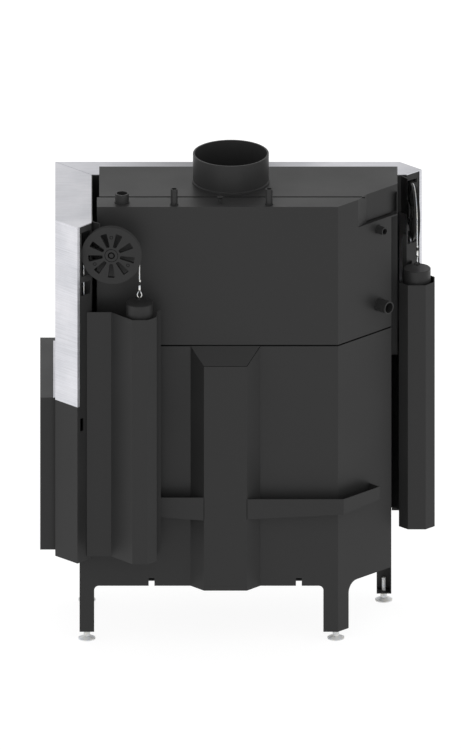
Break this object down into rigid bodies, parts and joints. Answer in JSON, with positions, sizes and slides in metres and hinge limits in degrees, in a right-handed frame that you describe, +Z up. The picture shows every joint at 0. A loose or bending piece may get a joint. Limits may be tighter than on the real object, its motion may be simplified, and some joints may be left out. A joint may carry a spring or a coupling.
{
  "type": "water-heating fireplace insert",
  "caption": "Corner fireplace insert with a water jacket, a lift-up corner glass door balanced by cable-hung weights, a flue collar on top and levelling feet below.",
  "frame": {"origin": "centre of the bounding box at floor level", "axes": "+Z up, -Y towards the room through the front pane, +X towards the corner's side pane"},
  "size_m": [1.022, 0.59, 1.28],
  "materials": {
    "black_paint": "fine-textured matt black heat-proof powder coat",
    "door_paint": "smooth matt black heat-proof paint",
    "fire_ceramic": "dry, slightly rough vermiculite and fireclay",
    "dark_steel": "bare dark sheet steel",
    "cast_iron": "rough grey casting",
    "fitting_steel": "blackened steel tube",
    "galvanised": "galvanised sheet with a fine horizontal grain",
    "bracket_steel": "plain steel plate",
    "ceramic_glass": "clear heat-proof glass ceramic",
    "handle_steel": "satin stainless steel",
    "pulley_iron": "smooth dark grey casting",
    "wire_rope": "stranded steel rope",
    "cable_fitting": "bright pressed sleeves and eye",
    "weight_steel": "dark painted steel bar",
    "zinc_foot": "bright zinc-plated steel"
  },
  "bodies": {
    "root": {"lower_shell": "black_paint", "base_plate": "black_paint", "ash_pit": "black_paint", "firebox_shell": "black_paint", "firebox_neck": "black_paint", "water_shelf": "black_paint", "jacket_shell": "black_paint", "jacket_lid_rear": "black_paint", "jacket_lid_front": "black_paint", "flue_collar": "black_paint", "return_stub": "black_paint", "drain_stub": "black_paint", "corner_cover": "black_paint", "side_panel": "black_paint", "rear_air_duct": "black_paint", "air_channel_left": "black_paint", "air_channel_right": "black_paint", "facade_frame": "black_paint", "door_sill": "black_paint", "post_left": "black_paint", "post_right": "black_paint", "weight_cover_left": "black_paint", "weight_cover_right": "black_paint", "hot_water_outlet": "black_paint", "casing_inner": "black_paint", "guide_rails": "black_paint", "rear_lining": "fire_ceramic", "side_lining": "fire_ceramic", "hearth_plate": "fire_ceramic", "baffle_plate": "fire_ceramic", "cooling_coil": "fitting_steel", "sensor_pocket": "fitting_steel", "casing_front": "galvanised", "casing_side": "galvanised", "casing_top": "galvanised", "pulley_bracket_left": "bracket_steel", "pulley_bracket_right": "bracket_steel", "pulley_axles": "bracket_steel", "cable_weight_run_left": "wire_rope", "cable_weight_run_right": "wire_rope", "cable_door_run_left": "wire_rope", "cable_door_run_right": "wire_rope", "cable_wraps": "wire_rope"},
    "door": {"door_frame": "door_paint", "front_glass": "ceramic_glass", "side_glass": "ceramic_glass", "door_handle": "handle_steel"},
    "weight_left": {"counterweight_left": "weight_steel", "cable_end_left": "cable_fitting"},
    "weight_right": {"counterweight_right": "weight_steel", "cable_end_right": "cable_fitting"},
    "pulley_left": {"pulley_left": "pulley_iron"},
    "pulley_right": {"pulley_right": "pulley_iron"},
    "ash_pan": {"ash_pan": "dark_steel"},
    "grate": {"grate": "cast_iron"},
    "air_lever": {"air_lever": "handle_steel"},
    "foot_1": {"foot_1": "zinc_foot"},
    "foot_2": {"foot_2": "zinc_foot"},
    "foot_3": {"foot_3": "zinc_foot"},
    "foot_4": {"foot_4": "zinc_foot"}
  },
  "joints": [
    {"name": "door_lift", "type": "slide", "parent": "root", "child": "door", "axis": [0, 0, 1], "range_m": [0, 0.36], "deforming": ["cable_door_run_left", "cable_door_run_right"]},
    {"name": "weight_left_drop", "type": "slide", "parent": "root", "child": "weight_left", "axis": [0, 0, -1], "range_m": [0, 0.36], "deforming": ["cable_weight_run_left"]},
    {"name": "weight_right_drop", "type": "slide", "parent": "root", "child": "weight_right", "axis": [0, 0, -1], "range_m": [0, 0.36], "deforming": ["cable_weight_run_right"]},
    {"name": "pulley_left_spin", "type": "hinge", "parent": "root", "child": "pulley_left", "pos_m": [0.3259, 0.241, 1.092], "axis": [-0.1168, -0.9932, 0], "range_deg": [0, 283.83]},
    {"name": "pulley_right_spin", "type": "hinge", "parent": "root", "child": "pulley_right", "pos_m": [-0.457, -0.0769, 1.092], "axis": [0.9932, 0.1168, 0], "range_deg": [0, 283.83]},
    {"name": "ash_pan_lift", "type": "slide", "parent": "root", "child": "ash_pan", "axis": [0, 0, 1], "range_m": [0, 0.12]},
    {"name": "grate_lift", "type": "slide", "parent": "ash_pan", "child": "grate", "axis": [0, 0, 1], "range_m": [0, 0.12]},
    {"name": "air_slide", "type": "slide", "parent": "root", "child": "air_lever", "axis": [1, 0, 0], "range_m": [0, 0.015]},
    {"name": "foot_1_turn", "type": "hinge", "parent": "root", "child": "foot_1", "pos_m": [0.39, 0.161, 0.03], "axis": [0, 0, 1], "continuous": true},
    {"name": "foot_2_turn", "type": "hinge", "parent": "root", "child": "foot_2", "pos_m": [-0.255, 0.159, 0.03], "axis": [0, 0, 1], "continuous": true},
    {"name": "foot_3_turn", "type": "hinge", "parent": "root", "child": "foot_3", "pos_m": [-0.379, -0.121, 0.03], "axis": [0, 0, 1], "continuous": true},
    {"name": "foot_4_turn", "type": "hinge", "parent": "root", "child": "foot_4", "pos_m": [0.39, -0.121, 0.03], "axis": [0, 0, 1], "continuous": true}
  ],
  "couplings": [
    {"joint": "weight_left_drop", "follows": "door_lift", "ratio": 1},
    {"joint": "weight_right_drop", "follows": "door_lift", "ratio": 1},
    {"joint": "pulley_left_spin", "follows": "door_lift", "rad_per_m": 13.736},
    {"joint": "pulley_right_spin", "follows": "door_lift", "rad_per_m": 13.736}
  ]
}
